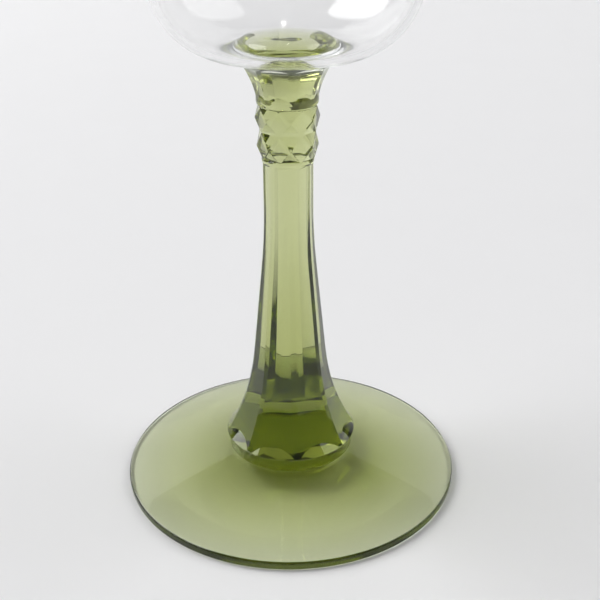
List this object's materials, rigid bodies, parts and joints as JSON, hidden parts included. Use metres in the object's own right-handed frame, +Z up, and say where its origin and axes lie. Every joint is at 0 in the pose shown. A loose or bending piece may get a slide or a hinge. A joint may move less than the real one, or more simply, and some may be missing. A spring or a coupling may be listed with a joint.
{
  "type": "wine glass",
  "caption": "Wine glass: a clear bowl on a green stem with flat panels and rows of diamond points, on a green disc foot.",
  "frame": {"origin": "on the axis of the glass, in the plane that the foot stands on", "axes": "+Z up the stem from the foot to the rim, +X to the right and +Y away from someone who faces the glass"},
  "size_m": [0.07, 0.07, 0.1373],
  "materials": {
    "clear_glass": "polished",
    "green_glass": "polished"
  },
  "bodies": {
    "root": {"bowl": "clear_glass", "stem": "green_glass", "foot": "green_glass"}
  },
  "joints": []
}
